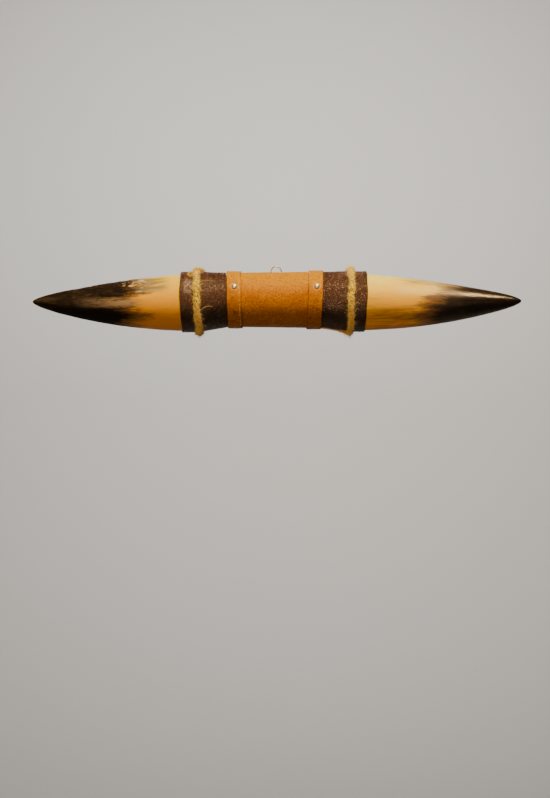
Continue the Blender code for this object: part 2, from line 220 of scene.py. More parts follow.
class Nodes:
    """Short ways to build a material's node tree."""

    def __init__(self, name):
        self.material = bpy.data.materials.new(name)
        self.material.use_nodes = True
        self.tree = self.material.node_tree
        self.shader = self.tree.nodes["Principled BSDF"]

    def add(self, kind, **settings):
        node = self.tree.nodes.new(kind)
        for key, value in settings.items():
            setattr(node, key, value)
        return node

    def link(self, source, target):
        self.tree.links.new(source, target)

    def put(self, socket, value):
        """Sets a socket to a number or a colour, or links it to another node's socket."""
        if isinstance(value, bpy.types.NodeSocket):
            self.link(value, socket)
        elif isinstance(value, tuple) and len(value) == 3 and socket.type == "RGBA":
            socket.default_value = (*value, 1)
        else:
            socket.default_value = value

    def place(self):
        return self.add("ShaderNodeTexCoord").outputs["Object"]

    def rest(self):
        return self.add("ShaderNodeAttribute", attribute_name="rest").outputs["Vector"]

    def wear_and_painted_light(self):
        return self.add("ShaderNodeAttribute", attribute_name="wear_and_painted_light").outputs["Fac"]

    def split(self, vector):
        node = self.add("ShaderNodeSeparateXYZ")
        self.link(vector, node.inputs[0])
        return node.outputs

    def math(self, operation, a, b=0.0):
        node = self.add("ShaderNodeMath", operation=operation)
        self.put(node.inputs[0], a)
        self.put(node.inputs[1], b)
        return node.outputs[0]

    def stretch(self, vector, scale):
        node = self.add("ShaderNodeMapping")
        self.link(vector, node.inputs["Vector"])
        node.inputs["Scale"].default_value = scale
        return node.outputs[0]

    def noise(self, vector, scale, detail=4.0, roughness=0.6, distortion=0.0):
        node = self.add("ShaderNodeTexNoise")
        self.link(vector, node.inputs["Vector"])
        settings = (scale, detail, roughness, distortion)
        for key, number in zip(("Scale", "Detail", "Roughness", "Distortion"), settings):
            node.inputs[key].default_value = number
        return node.outputs["Fac"]

    def warp(self, vector, scale, size):
        """Shifts a coordinate about with noise."""
        noise_node = self.add("ShaderNodeTexNoise")
        self.link(vector, noise_node.inputs["Vector"])
        noise_node.inputs["Scale"].default_value = scale
        node = self.add("ShaderNodeVectorMath", operation="MULTIPLY_ADD")
        self.link(noise_node.outputs["Color"], node.inputs[0])
        node.inputs[1].default_value = (size, size, size)
        self.link(vector, node.inputs[2])
        return node.outputs[0]

    def cells(self, vector, scale, feature="F1"):
        node = self.add("ShaderNodeTexVoronoi", feature=feature)
        self.link(vector, node.inputs["Vector"])
        node.inputs["Scale"].default_value = scale
        return node.outputs["Distance"]

    def span(self, value, low, high, to_low=0.0, to_high=1.0, smooth=True):
        """Maps a value from one range to another, and holds it at the ends."""
        node = self.add("ShaderNodeMapRange", interpolation_type="SMOOTHSTEP" if smooth else "LINEAR")
        self.put(node.inputs["Value"], value)
        for key, number in zip(("From Min", "From Max", "To Min", "To Max"), (low, high, to_low, to_high)):
            self.put(node.inputs[key], number)
        return node.outputs[0]

    def ramp(self, value, stops, interpolation="LINEAR"):
        node = self.add("ShaderNodeValToRGB")
        self.link(value, node.inputs[0])
        node.color_ramp.interpolation = interpolation
        elements = node.color_ramp.elements
        while len(elements) < len(stops):
            elements.new(0.5)
        for element, (position, colour) in zip(elements, stops):
            element.position = position
            element.color = (*colour, 1)
        return node.outputs[0]

    def graph(self, value, low, high, points):
        """A smooth curve: points are (value, result), with results from low to high."""
        first, last = points[0][0], points[-1][0]
        stops = [
            ((place - first) / (last - first), [(result - low) / (high - low)] * 3)
            for place, result in points
        ]
        share = self.ramp(self.span(value, first, last, smooth=False), stops, "EASE")
        return self.span(share, 0.0, 1.0, low, high, smooth=False)

    def product(self, *values):
        result = values[0]
        for value in values[1:]:
            result = self.math("MULTIPLY", result, value)
        return result

    def total(self, *values):
        result = values[0]
        for value in values[1:]:
            result = self.math("ADD", result, value)
        return result

    def swing(self, value, size):
        """A noise value as a swing either way of zero."""
        return self.math("MULTIPLY", self.math("SUBTRACT", value, 0.5), size)

    def window(self, value, a, b, c, d):
        """Rises from a to b and falls from c to d."""
        return self.math("MULTIPLY", self.span(value, a, b), self.span(value, d, c))

    def mix(self, share, a, b):
        node = self.add("ShaderNodeMix", data_type="RGBA")
        self.put(node.inputs[0], share)
        self.put(node.inputs[6], a)
        self.put(node.inputs[7], b)
        return node.outputs[2]

    def patch(self, along, reach, up, height):
        """A soft-edged patch, from a window along the horn and a window over its height."""
        return self.product(self.window(along, *reach), self.window(up, *height))

    def daub(self, colour, share, grain, low, high, strength, tint):
        """Puts a tint on a colour by shares, broken up by a noise value."""
        return self.mix(self.product(share, self.span(grain, low, high), strength), colour, tint)

    def bump(self, height, distance, strength=1.0, under=None):
        node = self.add("ShaderNodeBump")
        self.link(height, node.inputs["Height"])
        node.inputs["Distance"].default_value = distance
        node.inputs["Strength"].default_value = strength
        if under is not None:
            self.link(under, node.inputs["Normal"])
        return node.outputs[0]

    def done(self, colour, roughness, normal=None, **constants):
        self.put(self.shader.inputs["Base Color"], colour)
        self.put(self.shader.inputs["Roughness"], roughness)
        if normal is not None:
            self.link(normal, self.shader.inputs["Normal"])
        for key, value in constants.items():
            self.shader.inputs[key.replace("_", " ")].default_value = value
        return self.material


def horn_nodes(name):
    """Nodes for a horn, with its coordinate: metres from the tip, and a height from -1 below to 1 on top.

    The last three are streaks along the horn, fine as hair, as brush strokes, and as broad clouds.
    """
    n = Nodes(name)
    rest = n.rest()
    along, _, height = n.split(rest)
    up = n.math("DIVIDE", height, SEAT_R)
    fine = n.noise(n.stretch(rest, (16, 620, 620)), 1.0, 4.0, 0.62)
    brushed = n.noise(n.stretch(rest, (13, 170, 170)), 1.0, 5.0, 0.66, 0.3)
    broad = n.noise(n.stretch(rest, (11, 42, 42)), 1.0, 4.0, 0.55, 0.5)
    return n, rest, along, up, fine, brushed, broad


def horn_normal(n, rest, strength):
    grooves = n.noise(n.stretch(rest, (26, 800, 800)), 1.0, 3.0, 0.6)
    pits = n.noise(rest, 240.0, 4.0, 0.62)
    first = n.bump(grooves, 0.00010 * strength)
    return n.bump(pits, 0.00022 * strength, 0.6, first)


def right_horn_material():
    """Cream and honey at the base, through brushed streaks, to a black glossy tip. The honey is painted paler
    on top as light and deeper orange underneath as shade, a pale pink patch on the upper side is a painted
    sheen, and the tip is painted browner on its upper side as light.
    """
    n, rest, along, up, fine, brushed, broad = horn_nodes("horn_right_polished")
    # Painted light and shade: the honey runs from deep orange underneath to pale cream on top.
    lit = n.total(up, n.swing(broad, 1.0), n.swing(fine, 0.45))
    honey = n.ramp(
        n.span(lit, -1.0, 1.0, smooth=False),
        [(0.0, (0.80, 0.27, 0.020)), (0.25, (0.86, 0.34, 0.014)), (0.50, (0.90, 0.43, 0.006)),
         (0.75, (0.96, 0.60, 0.035)), (1.0, (0.99, 0.80, 0.19))],
    )
    stripes = n.product(n.span(brushed, 0.50, 0.66), n.span(up, 0.3, -0.3, 0.10, 0.45))
    honey = n.mix(stripes, honey, (0.42, 0.15, 0.004))
    # Painted sheen: a pale pink patch on the upper side, short of the dark tip.
    painted_sheen = n.patch(along, (0.074, 0.092, 0.118, 0.150), up, (0.12, 0.40, 0.62, 0.95))
    honey = n.daub(honey, painted_sheen, brushed, 0.30, 0.60, 0.70, (0.90, 0.62, 0.27))
    ragged = n.total(up, n.swing(broad, 0.6))
    cloud = n.patch(along, (0.098, 0.112, 0.150, 0.195), ragged, (-1.10, -0.75, -0.50, 0.05))
    honey = n.daub(honey, cloud, brushed, 0.34, 0.58, 0.72, (0.24, 0.095, 0.012))
    ridge = n.patch(along, (0.070, 0.095, 0.116, 0.140), up, (0.50, 0.74, 0.90, 1.05))
    honey = n.daub(honey, ridge, brushed, 0.36, 0.60, 0.75, (0.20, 0.13, 0.08))
    limit = n.graph(
        up, 0.07, 0.12,
        [(-1.0, 0.104), (-0.68, 0.109), (-0.40, 0.110), (-0.12, 0.106), (0.12, 0.097), (0.38, 0.080),
         (0.62, 0.078), (0.90, 0.098)],
    )
    limit = n.total(limit, n.swing(brushed, 0.052), n.swing(broad, 0.026), n.swing(fine, 0.026))
    pigment = n.span(n.math("SUBTRACT", limit, along), -0.020, 0.023, smooth=False)
    # Painted light: the black tip is browner on its upper side.
    dark = n.mix(n.span(up, -0.10, 0.35), (0.0030, 0.0016, 0.0010), (0.026, 0.0125, 0.0060))
    dark = n.mix(n.span(brushed, 0.52, 0.72, 0.0, 0.6), dark, (0.060, 0.028, 0.012))
    smoke = n.mix(n.span(up, 0.0, 0.4), (0.26, 0.110, 0.026), (0.28, 0.17, 0.105))
    halo = n.mix(n.span(pigment, 0.0, 0.50), honey, smoke)
    colour = n.mix(n.span(pigment, 0.32, 1.0), halo, dark)
    specks = n.span(n.cells(rest, 95.0), 0.060, 0.035)
    specks = n.product(specks, n.span(n.noise(rest, 40.0, 2.0), 0.52, 0.60), n.span(pigment, 0.5, 1.0))
    colour = n.mix(n.product(specks, 0.8), colour, (0.75, 0.62, 0.42))
    roughness = n.total(n.span(along, 0.050, 0.105, 0.27, 0.60), n.swing(fine, 0.22))
    return n.done(colour, roughness, horn_normal(n, rest, 0.55), IOR=1.54, Specular_IOR_Level=0.40,
                  Specular_Tint=(1.0, 0.76, 0.56, 1),
                  Subsurface_Weight=0.25, Subsurface_Radius=(1.0, 0.42, 0.10), Subsurface_Scale=0.007)


def left_horn_material():
    """Honey at the base, weathered bark-like brown above, a pale streak, and black underneath. The honey is
    painted paler on top as light and deeper orange underneath as shade, and the flakes carry painted
    highlights.
    """
    n, rest, along, up, fine, brushed, broad = horn_nodes("horn_left_weathered")
    # Painted light and shade: the honey runs from deep orange underneath to pale amber on top.
    lit = n.total(up, n.swing(broad, 0.9), n.swing(fine, 0.45))
    honey = n.ramp(
        n.span(lit, -1.0, 1.0, smooth=False),
        [(0.0, (0.60, 0.185, 0.003)), (0.30, (0.76, 0.280, 0.004)), (0.55, (0.88, 0.40, 0.004)),
         (0.85, (0.92, 0.53, 0.012)), (1.0, (0.92, 0.62, 0.050))],
    )
    flaky = n.noise(n.stretch(rest, (75, 230, 230)), 1.0, 6.0, 0.72, 0.8)
    limit = n.graph(
        up, 0.03, 0.14,
        [(-1.0, 0.096), (-0.72, 0.110), (-0.42, 0.119), (-0.20, 0.108), (-0.05, 0.090), (0.12, 0.098),
         (0.32, 0.120), (0.60, 0.128), (0.92, 0.122)],
    )
    limit = n.total(limit, n.swing(brushed, 0.050), n.swing(flaky, 0.030), n.swing(fine, 0.024),
                    n.swing(broad, 0.030))
    pigment = n.span(n.math("SUBTRACT", limit, along), -0.021, 0.025, smooth=False)
    bark = n.ramp(
        n.span(flaky, 0.30, 0.76),
        [(0.0, (0.0040, 0.0018, 0.0010)), (0.50, (0.0110, 0.0052, 0.0026)), (0.80, (0.034, 0.0175, 0.0085)),
         (1.0, (0.085, 0.048, 0.023))],
    )
    black = n.mix(n.span(fine, 0.45, 0.80), (0.0020, 0.0012, 0.0008), (0.010, 0.006, 0.003))
    middle = n.mix(n.span(brushed, 0.38, 0.66), (0.008, 0.0042, 0.0024), (0.048, 0.026, 0.013))
    dark = n.mix(n.span(up, -0.30, -0.12), black, middle)
    dark = n.mix(n.span(up, 0.08, 0.22), dark, bark)
    halo = n.mix(n.span(pigment, 0.0, 0.50), honey, (0.20, 0.085, 0.020))
    colour = n.mix(n.span(pigment, 0.35, 1.0), halo, dark)
    streak = n.patch(along, (0.040, 0.068, 0.104, 0.126), up, (-0.24, -0.10, 0.06, 0.22))
    tone = n.mix(n.span(along, 0.060, 0.104), (0.14, 0.090, 0.052), (0.36, 0.215, 0.105))
    tone = n.mix(n.span(fine, 0.46, 0.66, 0.0, 0.85), tone, (0.040, 0.024, 0.014))
    colour = n.daub(colour, streak, brushed, 0.24, 0.46, 0.96, tone)
    smudge = n.patch(along, (0.106, 0.120, 0.140, 0.158), up, (0.28, 0.50, 0.72, 0.98))
    colour = n.daub(colour, smudge, brushed, 0.30, 0.55, 0.85, (0.19, 0.150, 0.100))
    # Painted highlight: pale flakes in a band on the upper side, where the light's highlight falls.
    flakes = n.product(n.window(along, 0.090, 0.103, 0.124, 0.138), n.span(up, 0.26, 0.46),
                       n.span(fine, 0.40, 0.56))
    colour = n.daub(colour, flakes, flaky, 0.53, 0.60, 0.90, (0.72, 0.54, 0.27))
    pale = n.patch(along, (0.092, 0.102, 0.116, 0.130), up, (-0.75, -0.60, -0.52, -0.36))
    pale = n.product(pale, n.span(brushed, 0.40, 0.60), n.span(pigment, 0.9, 0.4), 0.6)
    colour = n.mix(pale, colour, (0.34, 0.16, 0.03))
    roughness = n.total(n.span(pigment, 0.0, 1.0, 0.48, 0.80), n.swing(flaky, 0.14))
    return n.done(colour, roughness, horn_normal(n, rest, 1.0), IOR=1.5, Specular_IOR_Level=0.18,
                  Specular_Tint=(1.0, 0.76, 0.52, 1),
                  Subsurface_Weight=0.30, Subsurface_Radius=(1.0, 0.40, 0.08), Subsurface_Scale=0.009)


def tan_material(name, mottling):
    """Smooth tan leather: fine grain, light scratches, and brown mottling. Painted light makes it lighter and
    yellower on top, and painted shade makes it and its mottling darker towards the underside.
    """
    n = Nodes(name)
    rest = n.rest()
    wear_and_painted_light = n.wear_and_painted_light()
    _, _, height = n.split(rest)
    clouds = n.noise(rest, 42.0, 5.0, 0.66)
    blots = n.noise(rest, 170.0, 5.0, 0.68, 0.4)
    pores = n.noise(rest, 620.0, 3.0, 0.7)
    colour = n.ramp(
        n.span(n.total(clouds, n.swing(blots, 0.45)), 0.26, 0.76, smooth=False),
        [(0.0, (0.38, 0.100, 0.0003)), (0.5, (0.48, 0.145, 0.0004)), (1.0, (0.56, 0.190, 0.0006))],
    )
    # Painted light: lighter and yellower towards the top.
    colour = n.mix(n.span(height, 0.002, 0.030, 0.0, 0.9), colour, (0.60, 0.262, 0.0006))
    # Painted shade: the brown mottling patches grow stronger towards the underside, through this mask.
    low = n.span(height, 0.026, -0.026, 0.25, 1.0)
    patches = n.product(n.span(blots, 0.50, 0.64), n.product(low, mottling))
    colour = n.mix(patches, colour, (0.20, 0.046, 0.0003))
    # Painted shade: darker towards the underside.
    colour = n.mix(n.span(height, -0.004, -0.028, 0.0, 0.62), colour, (0.17, 0.040, 0.0003))
    colour = n.mix(n.span(pores, 0.52, 0.64, 0.0, 0.75), colour, (0.23, 0.055, 0.0003))
    colour = n.mix(n.span(pores, 0.46, 0.34, 0.0, 0.45), colour, (0.70, 0.31, 0.004))
    scratches = n.noise(n.stretch(rest, (70, 1600, 1600)), 1.0, 2.0, 0.5)
    scratches = n.product(n.span(scratches, 0.66, 0.74), n.span(clouds, 0.50, 0.62), 0.40)
    colour = n.mix(scratches, colour, (0.85, 0.46, 0.08))
    # Painted shade where the share is low: darker along the straps' edges, partly as a burnished edge and
    # partly as shade in the gaps beside them. Painted highlight where it is high: lighter on the left strap's
    # crease lip and round the nail dimples.
    colour = n.mix(n.span(wear_and_painted_light, 0.42, 0.0, 0.0, 0.80), colour, (0.15, 0.040, 0.0006))
    colour = n.mix(n.span(wear_and_painted_light, 0.58, 1.0, 0.0, 0.60), colour, (0.92, 0.52, 0.10))
    normal = n.bump(n.cells(rest, 900.0), 0.00018, 0.75)
    normal = n.bump(pores, 0.00028, 0.65, normal)
    roughness = n.span(blots, 0.3, 0.8, 0.42, 0.62)
    return n.done(colour, roughness, normal, Specular_IOR_Level=0.14, IOR=1.45,
                  Specular_Tint=(1.0, 0.70, 0.35, 1))


def dark_material(name, pebbled):
    """Dark reddish-brown leather. It is painted black in its creases as shade and darker towards the underside
    as shade, and lighter on its raised grain, partly as wear and partly as painted highlight.
    """
    n = Nodes(name)
    rest = n.rest()
    along, _, height = n.split(rest)
    clouds = n.noise(rest, 55.0, 4.0, 0.6)
    fine = n.noise(rest, 900.0, 3.0, 0.65)
    if pebbled:
        relief = n.span(n.cells(n.warp(rest, 300.0, 0.0034), 540.0, "DISTANCE_TO_EDGE"), 0.02, 0.34)
        # On the pebbled leather this share is random wear in clouds.
        worn_and_painted_light = n.span(clouds, 0.50, 0.70, 0.0, 0.40)
        crest_wear_and_highlight = (0.40, 0.185, 0.115)
        painted_crease_shade = 0.58
    else:
        wrinkle = n.noise(n.stretch(n.warp(rest, 120.0, 0.0060), (1.0, 0.55, 0.55)), 420.0, 3.0, 0.6, 0.6)
        relief = n.span(n.math("ABSOLUTE", n.math("SUBTRACT", wrinkle, 0.5)), 0.055, 0.0)
        # On the creased leather it is a painted highlight: a pale patch on the upper front near the tie.
        worn_and_painted_light = n.product(n.window(along, -0.1065, -0.1015, -0.0960, -0.0915),
                         n.window(height, 0.005, 0.011, 0.021, 0.027))
        crest_wear_and_highlight = (0.42, 0.180, 0.105)
        painted_crease_shade = 0.80
    colour = n.ramp(
        n.span(clouds, 0.25, 0.75, smooth=False),
        [(0.0, (0.060, 0.0180, 0.0080)), (0.5, (0.082, 0.0260, 0.0118)), (1.0, (0.110, 0.037, 0.0170))],
    )
    raised = n.total(n.product(relief, 0.75), n.product(n.wear_and_painted_light(), 0.30), n.swing(fine, 0.5))
    # Lighter on the raised grain: partly wear, partly painted highlight.
    colour = n.mix(n.span(raised, 0.50, 0.98, 0.0, 0.78), colour, crest_wear_and_highlight)
    # Pale patch: random wear on the pebbled leather, a painted highlight on the creased leather.
    colour = n.mix(n.product(worn_and_painted_light, n.span(raised, 0.10, 0.60), 0.95), colour, (0.78, 0.49, 0.37))
    # Painted shade: black in the creases.
    colour = n.mix(n.span(raised, 0.36, 0.05, 0.0, painted_crease_shade), colour, (0.016, 0.0048, 0.0024))
    # Painted shade: darker towards the underside.
    colour = n.mix(n.span(height, 0.006, -0.022, 0.0, 0.88), colour, (0.009, 0.0026, 0.0013))
    normal = n.bump(fine, 0.00022, 0.6, n.bump(relief, 0.00100, 1.0))
    roughness = n.span(raised, 0.1, 0.9, 0.50, 0.30)
    return n.done(colour, roughness, normal, Specular_IOR_Level=0.50, IOR=1.5,
                  Specular_Tint=(1.0, 0.76, 0.58, 1))


def cord_material(name, pale, deep):
    """Soft vegetable fibre. It is painted deeper between the strands as shade, and more orange and darker on
    the lower half as shade.
    """
    n = Nodes(name)
    rest = n.rest()
    wear_and_painted_light = n.wear_and_painted_light()
    tone = n.noise(rest, 520.0, 4.0, 0.70)
    threads = n.noise(rest, 1500.0, 3.0, 0.66)
    # Painted shade: deeper colour where the share is low, in the grooves between the plies, mixed with random
    # tone.
    colour = n.mix(n.span(n.total(n.product(wear_and_painted_light, 0.7), n.swing(tone, 2.6)), 0.06, 0.50), deep, pale)
    _, _, height = n.split(n.place())
    # Painted shade: more orange and darker on the lower half.
    painted_shade_lower_half = n.span(height, AXIS_Z + 0.006, AXIS_Z - 0.030, 0.0, 0.55)
    colour = n.mix(painted_shade_lower_half, colour, (pale[0], pale[1] * 0.76, pale[2] * 1.6))
    colour = n.mix(n.span(threads, 0.52, 0.66, 0.0, 0.70), colour, tuple(c * 0.5 for c in deep))
    return n.done(colour, n.span(threads, 0.3, 0.7, 0.80, 0.95), n.bump(threads, 0.00035, 0.8),
                  Specular_IOR_Level=0.15, Sheen_Weight=0.7, Sheen_Roughness=0.45,
                  Sheen_Tint=(1.0, 0.70, 0.28, 1),
                  Subsurface_Weight=0.25, Subsurface_Radius=(1.0, 0.50, 0.12), Subsurface_Scale=0.004)


def metal_material(name, bright, dull):
    """Worn, slightly cloudy metal."""
    n = Nodes(name)
    place = n.place()
    # Here this share is only the metal's random wear and cloudiness.
    wear_and_painted_light = n.noise(place, 900.0, 4.0, 0.6)
    colour = n.mix(n.span(wear_and_painted_light, 0.42, 0.72), bright, dull)
    return n.done(colour, n.span(wear_and_painted_light, 0.3, 0.8, 0.36, 0.56), n.bump(wear_and_painted_light, 0.00006, 0.4), Metallic=1.0)


def wood_material():
    n = Nodes("turned_pine")
    place = n.place()
    grain = n.noise(n.stretch(place, (8, 260, 260)), 1.0, 4.0, 0.6, 0.4)
    colour = n.mix(n.span(grain, 0.3, 0.7), (0.34, 0.19, 0.085), (0.60, 0.41, 0.22))
    return n.done(colour, n.span(grain, 0.3, 0.7, 0.55, 0.7), n.bump(grain, 0.0003, 0.5))


# ---- horns


def horn_line(side, along):
    """The horn's middle line at shares of its length from the cut end to the tip."""
    x = side.sign * (side.butt + (side.tip - side.butt) * along)
    drop = side.fall_butt + (side.fall_tip - side.fall_butt) * along + side.bow * np.sin(np.pi * along)
    return np.stack([x, AXIS_Y - FORWARD * along**FORWARD_POWER, AXIS_Z - drop], axis=-1)


def horn_frames(side, along):
    """For each ring: its middle, and the two directions across the horn, to its front and to its top."""
    middle = horn_line(side, along)
    step = 1e-3
    ahead = unit(horn_line(side, along + step) - horn_line(side, np.maximum(along - step, 0)))
    turned = np.clip(along / 0.1, 0, 1)[:, None]
    ahead = unit(ahead * turned + np.array([side.sign, 0, 0]) * (1 - turned))
    forward = np.array([0.0, -1.0, 0.0])
    front = unit(forward - (ahead @ forward)[:, None] * ahead)
    up = np.cross(front, ahead) * side.sign
    return middle, front, up


def bark(rest):
    """The left horn's weathered upper side: ragged flakes lying along the horn."""
    away, front, height = rest[..., 0], rest[..., 1], rest[..., 2]
    up = height / np.maximum(np.hypot(front, height), 1e-6)
    mask = np.clip((up - 0.02) / 0.3, 0, 1)
    mask *= np.clip((away - 0.012) / 0.03, 0, 1) * np.clip((0.135 - away) / 0.02, 0, 1)
    flakes = noise_field(rest * [0.45, 1, 1], 0.0045, 5, 3)
    ledges = np.abs(noise_field(rest * [0.35, 1, 1], 0.011, 3, 7))
    return mask * (0.00055 * np.clip(flakes, -1, 1) - 0.0009 * (ledges < 0.08) + 0.0002)


def horn(side, material):
    rings, around = 300, 150
    length = side.tip - side.butt
    away = length * np.linspace(0, 1, rings) ** 1.5
    away[0] = 2e-6
    share = away / length
    radius = HORN_R * share**TIP_POWER * (1 + BELLY * np.sin(np.pi * share))
    radius = np.minimum(radius, SEAT_R)
    middle, front, up = horn_frames(side, 1 - share)
    turn = 2 * np.pi * np.arange(around) / around
    cos, sin = np.cos(turn)[None, :], np.sin(turn)[None, :]
    rest = np.stack(
        [np.repeat(away[:, None], around, 1), radius[:, None] * cos, radius[:, None] * sin], axis=-1
    )
    lumps = noise_field(rest * [0.6, 1, 1], 0.022, 2, side.sign + 2)
    # Gentle lumps, growth rings and fine streaks. None of them reach under the cover.
    seated = np.clip((length - away - (side.cover - side.butt)) / 0.006, 0, 1)[:, None]
    rise = 0.00028 * lumps * seated * np.clip(radius / 0.012, 0, 1)[:, None]
    rise += 0.000012 * np.sin(2 * np.pi * (away / 0.0095 + 0.5 * np.sin(away * 90)))[:, None] * seated
    streaks = noise_field(rest * [0.04, 1, 1], 0.0016, 2, 5)
    rise += 0.00005 * streaks * seated * np.clip(radius / 0.008, 0, 1)[:, None]
    if side is LEFT:
        rise += bark(rest)
    out = cos[..., None] * front[:, None, :] + sin[..., None] * up[:, None, :]
    points = middle[:, None, :] + (radius[:, None] + rise)[..., None] * out
    butt = middle[-1]
    mouth = butt + SOCKET_MOUTH_R * out[-1]
    end = butt + np.array([side.sign * SOCKET_DEPTH, 0, 0]) + SOCKET_END_R * out[-1]
    points = np.concatenate([points, mouth[None], end[None]])
    rest = np.concatenate([rest, rest[-1:], rest[-1:]])
    name = "horn_" + side.name
    obj = swept(name + "_skin", points, rest, flip=side is LEFT)
    finish_piece(obj, material, name)


# ---- leather


def band(name, degrees, edges, inner_face, thickness, shape, spacing, corner=0.0006):
    """Leather wrapped round the axis, with rounded edges.

    edges(degrees) gives the places of its two edges, and inner_face(x, degrees) the radius of its inner face.
    shape(rest, degrees, depth) gives how far its outer face stands off the plain one, and its share of real
    wear and painted light and shade.
    """
    first, last = edges(degrees)
    width = np.abs(last - first)[:, None]
    share = np.linspace(0, 1, int(width.max() / spacing))
    x = first[:, None] + (last - first)[:, None] * share
    angle = np.repeat(degrees[:, None], len(share), 1)
    depth = np.minimum(share, 1 - share) * width
    inset = np.clip(1 - depth / corner, 0, 1)
    plain = inner_face(x, angle) + thickness
    rest = axis_place(x, angle, plain)
    rise, wear_and_painted_light = shape(rest, angle, depth)
    outer = plain - corner * (1 - np.sqrt(1 - inset**2)) + rise * np.clip(depth / 0.0009, 0.12, 1)
    x_in = np.stack([first + (last - first) * s for s in (1.0, 0.66, 0.33, 0.0)], axis=-1)
    angle_in = angle[:, :4]
    inner = inner_face(x_in, angle_in)
    return swept(
        name,
        np.concatenate([polar(x, angle, outer), polar(x_in, angle_in, inner)], axis=1),
        np.concatenate([rest, axis_place(x_in, angle_in, inner)], axis=1),
        np.concatenate([wear_and_painted_light, np.full_like(inner, 0.5)], axis=1),
        flip=first[0] > last[0],
    )


def axis_place(x, degrees, radius):
    """The materials' coordinate: along the axis, to the front and up, from the middle line."""
    turn = np.radians(degrees)
    return np.stack([x, radius * np.cos(turn), radius * np.sin(turn)], axis=-1)


def open_turn(seam_angle, radius, steps):
    """Angles once round, with a narrow gap at the seam."""
    half_gap = math.degrees(SEAM / radius) / 2
    return np.linspace(seam_angle + half_gap, seam_angle + 360 - half_gap, steps)


def on_the_core(x, degrees):
    return skin_radius(x) - LEATHER


def dark_cover(side, material):
    spacing = 0.00056
    steps = int(2 * math.pi * COVER_R / spacing)

    def edges(degrees):
        wave = 0.00035 * np.sin(np.radians(degrees) * 3 + 1) + 0.0002 * np.sin(np.radians(degrees) * 7)
        return (edge_at(side, side.joint + GAP, side.lean, degrees),
                edge_at(side, side.cover, side.lean, degrees) + side.sign * wave)

    def shape(rest, angle, depth):
        if side is RIGHT:
            grain = 0.8 * cell_field(rest, 0.0025, 2)
            grain += 0.2 * np.clip(0.5 + noise_field(rest, 0.0016, 2, 5), 0, 1)
            sag = noise_field(rest, 0.011, 3, 4)
        else:
            swirl = 0.0020 * noise_field(rest, 0.010, 2, 3)[..., None]
            creases = noise_field(rest * [1.0, 0.45, 0.45] + swirl, 0.0034, 2, 8)
            grain = np.clip(np.abs(creases) * 3.4, 0, 1)
            sag = noise_field(rest, 0.012, 3, 6)
        # The share rises on the raised grain, where the material paints it lighter, partly as wear and partly
        # as highlight.
        return 0.00040 * (grain - 0.6) + 0.00026 * sag, np.clip(0.25 + 0.6 * grain + 0.25 * sag, 0, 1)

    name = "dark_cover_" + side.name
    degrees = open_turn(COVER_SEAM_ANGLE, COVER_R, steps)
    obj = band(name + "_hide", degrees, edges, on_the_core, LEATHER, shape, spacing)
    finish_piece(obj, material, name)


def tan_sleeve(material):
    spacing = 0.0009
    steps = int(2 * math.pi * SLEEVE_RIGHT_R / spacing)

    def edges(degrees):
        return tuple(edge_at(side, side.joint, side.lean, degrees) for side in (LEFT, RIGHT))

    def shape(rest, angle, depth):
        rise = 0.00016 * noise_field(rest * [0.7, 1, 1], 0.016, 3, 9)
        return rise + 0.00005 * noise_field(rest, 0.0022, 2, 1), np.full(depth.shape, 0.5)

    degrees = open_turn(SLEEVE_SEAM_ANGLE, SLEEVE_LEFT_R, steps)
    obj = band("tan_sleeve_hide", degrees, edges, on_the_core, LEATHER, shape, spacing)
    finish_piece(obj, material, "tan_sleeve")


def strap_seat(side):
    """The radius a strap lies at: the larger one of those at its two edges."""
    return max(float(skin_radius(side.sign * place)) for place in (side.strap_in, side.strap_out))


def strap(side, material):
    """A tan strap whose end overlaps its start at the back, dimpled at its nails."""
    spacing = 0.0005
    seat = strap_seat(side)
    turn = 360 + STRAP_OVERLAP
    steps = int(math.radians(turn) * seat / (1.3 * spacing))
    degrees = np.linspace(STRAP_SEAM_ANGLE, STRAP_SEAM_ANGLE + turn, steps)

    def edges(angle):
        wave = 0.00018 * np.sin(np.radians(angle) * 5 + side.sign) + 0.0001 * np.sin(np.radians(angle) * 11)
        return (edge_at(side, side.strap_in, side.lean, angle) + wave,
                edge_at(side, side.strap_out, side.lean, angle) + wave)

    def inner_face(x, angle):
        climb = np.clip((angle - STRAP_SEAM_ANGLE - 360 + STRAP_RAMP) / STRAP_RAMP, 0, 1)
        return seat + GAP + (STRAP + GAP) * climb

    def shape(rest, angle, depth):
        rise = 0.00016 * noise_field(rest, 0.009, 3, 12 + side.sign)
        # Low along the edges: the tan material paints them darker, partly as a burnished edge and partly as
        # shade in the gaps beside the strap.
        wear_and_painted_light = 0.5 * np.clip(depth / 0.0011, 0, 1)
        if side is LEFT:
            from_inner = np.abs(rest[..., 0] - edges(angle)[0])
            rise = rise - 0.00050 * hump(from_inner, 0.0034, 0.00055)
            rise = rise - 0.00025 * np.clip(1 - from_inner / 0.0034, 0, 1)
            # A lighter line on the crease's lip near the inner edge: a painted highlight.
            broken = np.clip(0.6 + noise_field(rest, 0.005, 2, 3), 0, 1)
            wear_and_painted_light = wear_and_painted_light + 0.5 * broken * hump(from_inner, 0.0026, 0.00060)
        for place in NAIL_ANGLES.values():
            away = np.hypot(rest[..., 0] - side.sign * side.nail,
                            seat * np.radians((angle - place + 180) % 360 - 180))
            rise = rise - 0.00040 * hump(away, 0, 0.0042)
            # A lighter ring round each nail's dimple: a painted highlight on its rim.
            wear_and_painted_light = wear_and_painted_light + 0.40 * hump(away, 0.0040, 0.0006)
        return rise, wear_and_painted_light

    name = "strap_" + side.name
    obj = band(name + "_hide", degrees, edges, inner_face, STRAP, shape, spacing, 0.00055)
    finish_piece(obj, material, name)


# ---- cord


